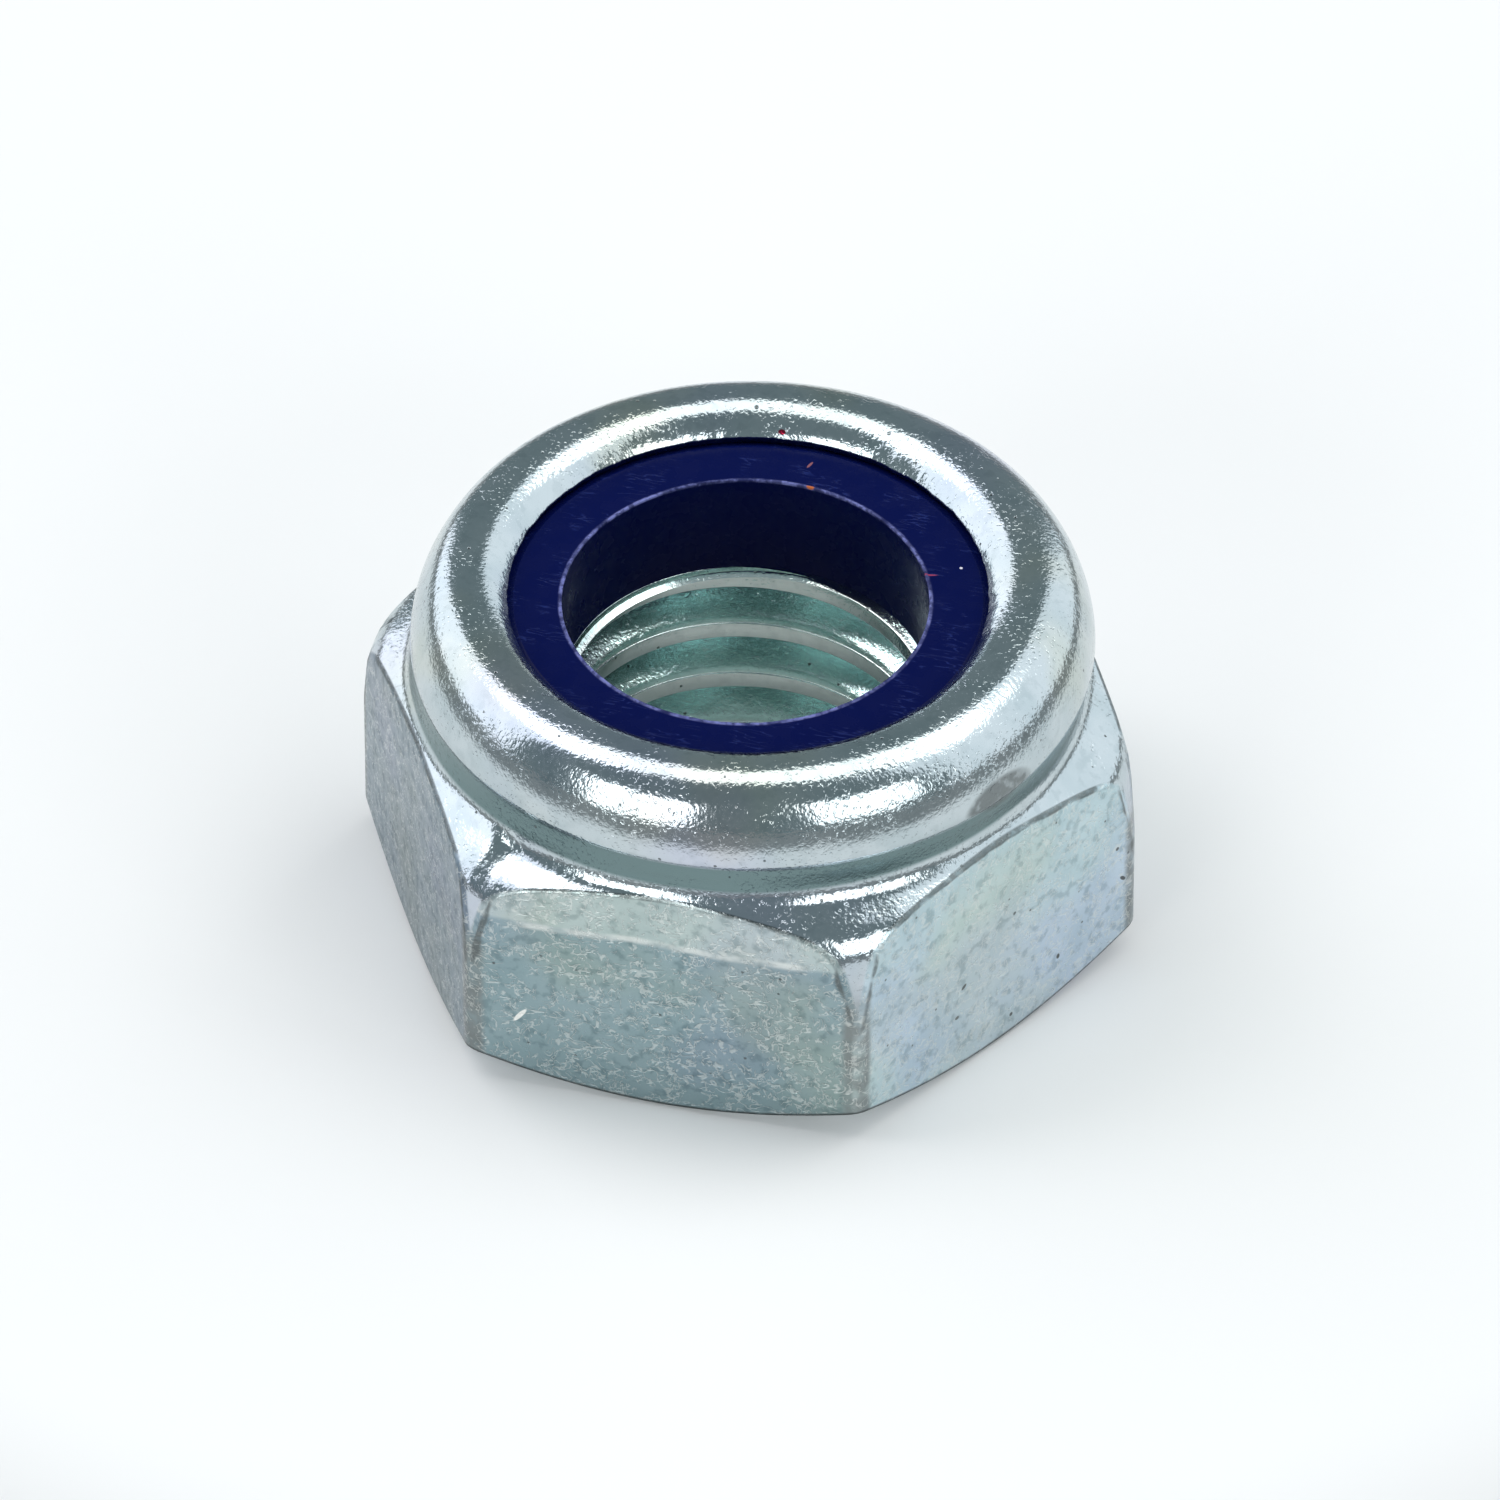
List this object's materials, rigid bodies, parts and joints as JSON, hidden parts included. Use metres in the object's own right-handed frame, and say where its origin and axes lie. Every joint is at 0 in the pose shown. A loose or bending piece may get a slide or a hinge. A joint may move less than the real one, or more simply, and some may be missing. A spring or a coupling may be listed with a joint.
{
  "type": "nylon insert lock nut",
  "caption": "Hexagon lock nut of zinc-plated steel with a blue plastic locking ring held under the crimped lip of its round collar.",
  "frame": {"origin": "centre of the flat bearing face, on the thread axis", "axes": "+Z along the thread axis from the bearing face to the collar, +X to a corner of the hexagon, +Y square to a flat"},
  "size_m": [0.015, 0.013, 0.0076],
  "materials": {
    "zinc_plate": "bright zinc plate on steel, grainy on the formed collar and satin on the flats",
    "blue_nylon": "dark blue polyamide, smooth with a thin pale burr at the bore edge"
  },
  "bodies": {
    "root": {"nut_body": "zinc_plate", "nylon_insert": "blue_nylon"}
  },
  "joints": []
}
